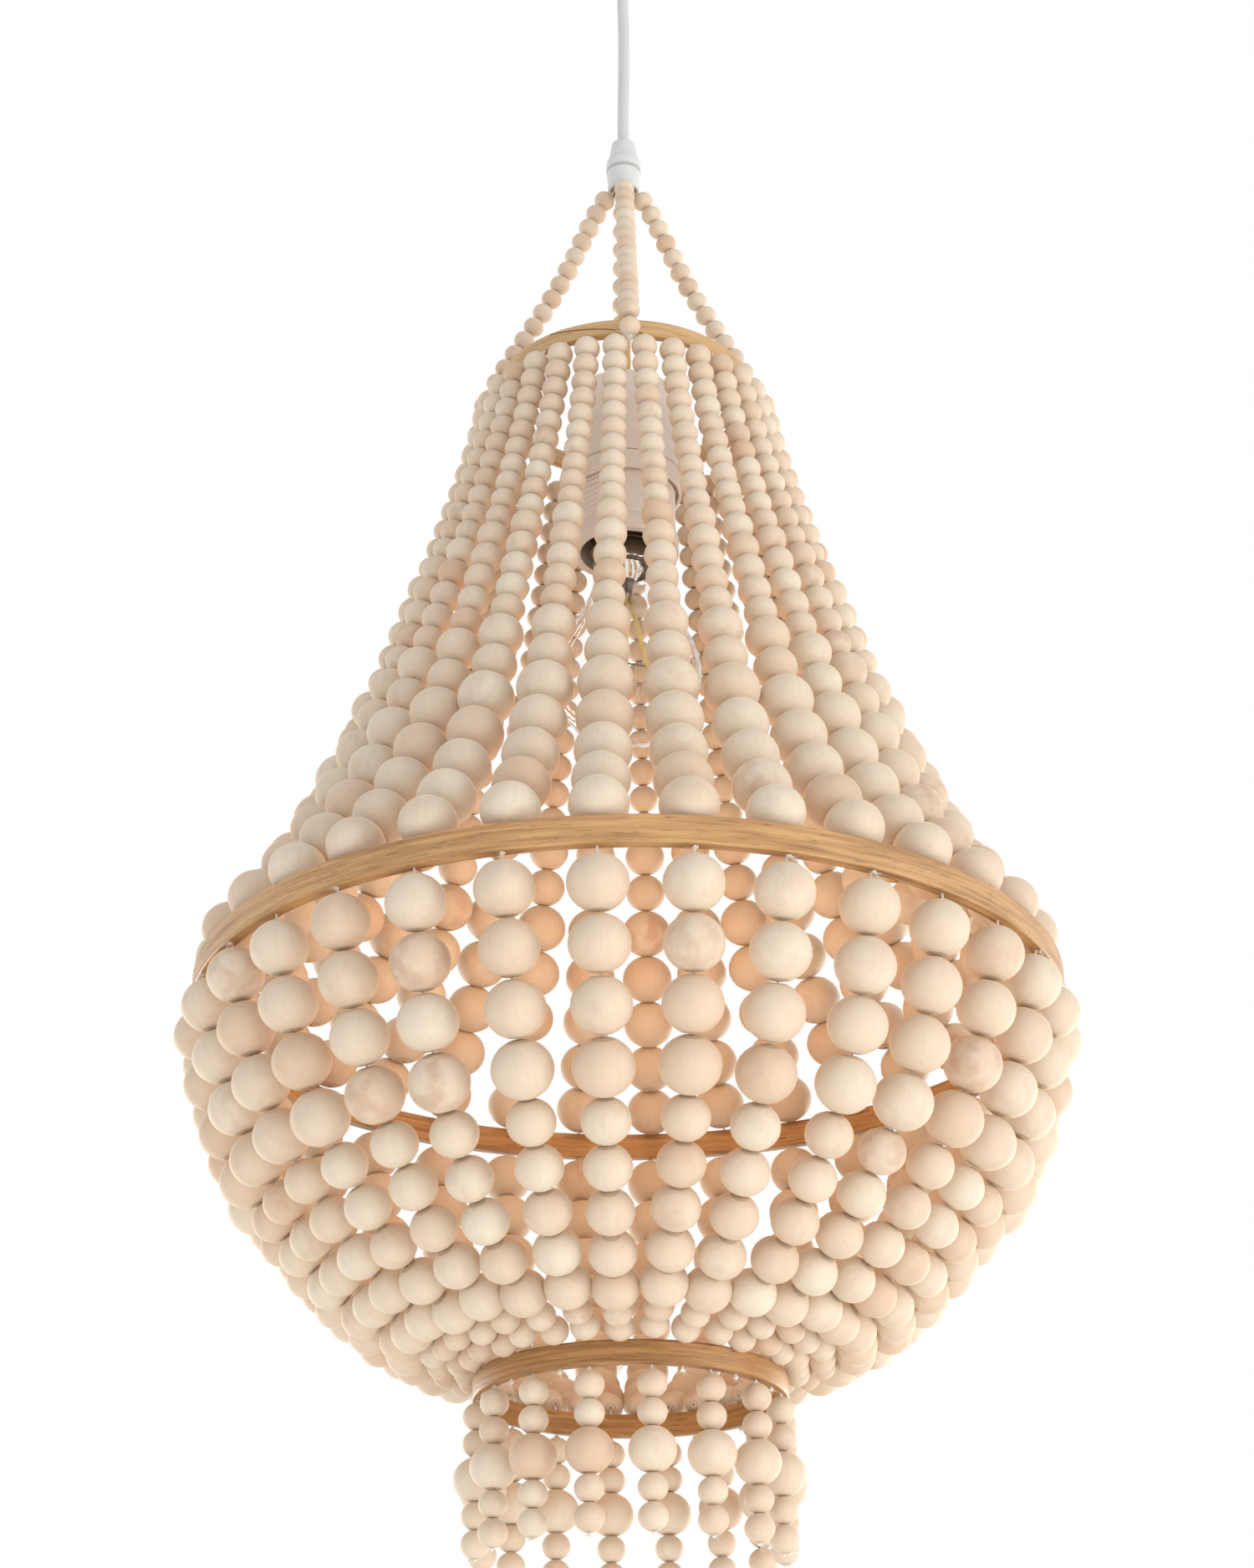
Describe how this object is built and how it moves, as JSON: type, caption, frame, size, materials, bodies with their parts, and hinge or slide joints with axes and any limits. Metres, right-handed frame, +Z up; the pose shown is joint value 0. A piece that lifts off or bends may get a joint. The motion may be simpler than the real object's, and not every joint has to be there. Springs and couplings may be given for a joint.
{
  "type": "beaded chandelier",
  "caption": "Ceiling pendant of wooden bead strings on bamboo hoops, a flared cone over a bowl with a short bead fringe, hung on a flex with a lampholder and bulb inside.",
  "frame": {"origin": "on the ceiling, at the middle of the bracket's upper face, straight above the flex", "axes": "+Z up, the lamp hangs down along -Z; -Y towards the viewer of the picture; X along the ceiling bracket"},
  "size_m": [0.3334, 0.3334, 0.7907],
  "materials": {
    "pale_wood": "raw sanded pale hardwood beads on white cotton thread",
    "bamboo": "bent bamboo strip, lightly varnished",
    "white_plastic": "satin white moulded plastic",
    "white_flex": "smooth white PVC sheath",
    "zinc_steel": "zinc-plated steel",
    "nickel_plate": "dull nickel plating",
    "brass_contact": "bare brass",
    "clear_glass": "clear blown glass",
    "yellow_phosphor": "yellow coated filaments on a glass stem"
  },
  "bodies": {
    "ceiling_fitting": {"ceiling_bracket": "zinc_steel", "ceiling_cup": "white_plastic", "cup_screw_right": "zinc_steel", "cup_screw_left": "zinc_steel", "terminal_block": "white_plastic", "cord_tail": "white_flex"},
    "relief": {"strain_relief": "white_plastic"},
    "lamp": {"supply_cord": "white_flex", "cord_grip_nut": "white_plastic", "cord_grip_cup": "white_plastic", "inner_cord": "white_flex", "top_hoop": "bamboo", "middle_hoop": "bamboo", "lower_hoop": "bamboo", "string_pair_01": "pale_wood", "string_pair_02": "pale_wood", "string_pair_03": "pale_wood", "string_pair_04": "pale_wood", "string_pair_05": "pale_wood", "string_pair_06": "pale_wood", "string_pair_07": "pale_wood", "string_pair_08": "pale_wood", "string_pair_09": "pale_wood", "string_pair_10": "pale_wood", "string_pair_11": "pale_wood", "string_pair_12": "pale_wood", "string_pair_13": "pale_wood", "string_pair_14": "pale_wood", "string_pair_15": "pale_wood", "string_pair_16": "pale_wood", "hanger_1": "pale_wood", "hanger_2": "pale_wood", "hanger_3": "pale_wood", "hanger_4": "pale_wood", "holder_cap": "white_plastic", "holder_skirt": "white_plastic", "holder_insert": "white_plastic", "threaded_shell": "nickel_plate", "centre_contact": "brass_contact"},
    "bulb": {"bulb_cap": "nickel_plate", "bulb_glass": "clear_glass", "filament_stem": "yellow_phosphor"},
    "swinging_fringe_01": {"fringe_01": "pale_wood"},
    "swinging_fringe_02": {"fringe_02": "pale_wood"},
    "swinging_fringe_03": {"fringe_03": "pale_wood"},
    "swinging_fringe_04": {"fringe_04": "pale_wood"},
    "swinging_fringe_05": {"fringe_05": "pale_wood"},
    "swinging_fringe_06": {"fringe_06": "pale_wood"},
    "swinging_fringe_07": {"fringe_07": "pale_wood"},
    "swinging_fringe_08": {"fringe_08": "pale_wood"},
    "swinging_fringe_09": {"fringe_09": "pale_wood"},
    "swinging_fringe_10": {"fringe_10": "pale_wood"},
    "swinging_fringe_11": {"fringe_11": "pale_wood"},
    "swinging_fringe_12": {"fringe_12": "pale_wood"},
    "swinging_fringe_13": {"fringe_13": "pale_wood"},
    "swinging_fringe_14": {"fringe_14": "pale_wood"},
    "swinging_fringe_15": {"fringe_15": "pale_wood"},
    "swinging_fringe_16": {"fringe_16": "pale_wood"}
  },
  "joints": [
    {"name": "sway_front_back", "type": "hinge", "parent": "ceiling_fitting", "child": "relief", "pos_m": [0, 0, -0.0515], "axis": [1, 0, 0], "range_deg": [-15, 15]},
    {"name": "sway_left_right", "type": "hinge", "parent": "relief", "child": "lamp", "pos_m": [0, 0, -0.0793], "axis": [0, 1, 0], "range_deg": [-15, 15]},
    {"name": "bulb_unscrew", "type": "hinge", "parent": "lamp", "child": "bulb", "pos_m": [0, 0, -0.3944], "axis": [0, 0, -1], "range_deg": [0, 1440]},
    {"name": "fringe_01_swing", "type": "hinge", "parent": "lamp", "child": "swinging_fringe_01", "pos_m": [0.00726, -0.05351, -0.7368], "axis": [-0.9909, -0.1344, 0], "range_deg": [-20, 45]},
    {"name": "fringe_02_swing", "type": "hinge", "parent": "lamp", "child": "swinging_fringe_02", "pos_m": [0.02718, -0.04666, -0.7368], "axis": [-0.8641, -0.5034, 0], "range_deg": [-20, 45]},
    {"name": "fringe_03_swing", "type": "hinge", "parent": "lamp", "child": "swinging_fringe_03", "pos_m": [0.04297, -0.0327, -0.7368], "axis": [-0.6056, -0.7957, 0], "range_deg": [-20, 45]},
    {"name": "fringe_04_swing", "type": "hinge", "parent": "lamp", "child": "swinging_fringe_04", "pos_m": [0.05221, -0.01377, -0.7368], "axis": [-0.255, -0.9669, 0], "range_deg": [-20, 45]},
    {"name": "fringe_05_swing", "type": "hinge", "parent": "lamp", "child": "swinging_fringe_05", "pos_m": [0.05351, 0.00726, -0.7368], "axis": [0.1344, -0.9909, 0], "range_deg": [-20, 45]},
    {"name": "fringe_06_swing", "type": "hinge", "parent": "lamp", "child": "swinging_fringe_06", "pos_m": [0.04666, 0.02718, -0.7368], "axis": [0.5034, -0.8641, 0], "range_deg": [-20, 45]},
    {"name": "fringe_07_swing", "type": "hinge", "parent": "lamp", "child": "swinging_fringe_07", "pos_m": [0.0327, 0.04297, -0.7368], "axis": [0.7957, -0.6056, 0], "range_deg": [-20, 45]},
    {"name": "fringe_08_swing", "type": "hinge", "parent": "lamp", "child": "swinging_fringe_08", "pos_m": [0.01377, 0.05221, -0.7368], "axis": [0.9669, -0.255, 0], "range_deg": [-20, 45]},
    {"name": "fringe_09_swing", "type": "hinge", "parent": "lamp", "child": "swinging_fringe_09", "pos_m": [-0.00726, 0.05351, -0.7368], "axis": [0.9909, 0.1344, 0], "range_deg": [-20, 45]},
    {"name": "fringe_10_swing", "type": "hinge", "parent": "lamp", "child": "swinging_fringe_10", "pos_m": [-0.02718, 0.04666, -0.7368], "axis": [0.8641, 0.5034, 0], "range_deg": [-20, 45]},
    {"name": "fringe_11_swing", "type": "hinge", "parent": "lamp", "child": "swinging_fringe_11", "pos_m": [-0.04297, 0.0327, -0.7368], "axis": [0.6056, 0.7957, 0], "range_deg": [-20, 45]},
    {"name": "fringe_12_swing", "type": "hinge", "parent": "lamp", "child": "swinging_fringe_12", "pos_m": [-0.05221, 0.01377, -0.7368], "axis": [0.255, 0.9669, 0], "range_deg": [-20, 45]},
    {"name": "fringe_13_swing", "type": "hinge", "parent": "lamp", "child": "swinging_fringe_13", "pos_m": [-0.05351, -0.00726, -0.7368], "axis": [-0.1344, 0.9909, 0], "range_deg": [-20, 45]},
    {"name": "fringe_14_swing", "type": "hinge", "parent": "lamp", "child": "swinging_fringe_14", "pos_m": [-0.04666, -0.02718, -0.7368], "axis": [-0.5034, 0.8641, 0], "range_deg": [-20, 45]},
    {"name": "fringe_15_swing", "type": "hinge", "parent": "lamp", "child": "swinging_fringe_15", "pos_m": [-0.0327, -0.04297, -0.7368], "axis": [-0.7957, 0.6056, 0], "range_deg": [-20, 45]},
    {"name": "fringe_16_swing", "type": "hinge", "parent": "lamp", "child": "swinging_fringe_16", "pos_m": [-0.01377, -0.05221, -0.7368], "axis": [-0.9669, 0.255, 0], "range_deg": [-20, 45]}
  ]
}
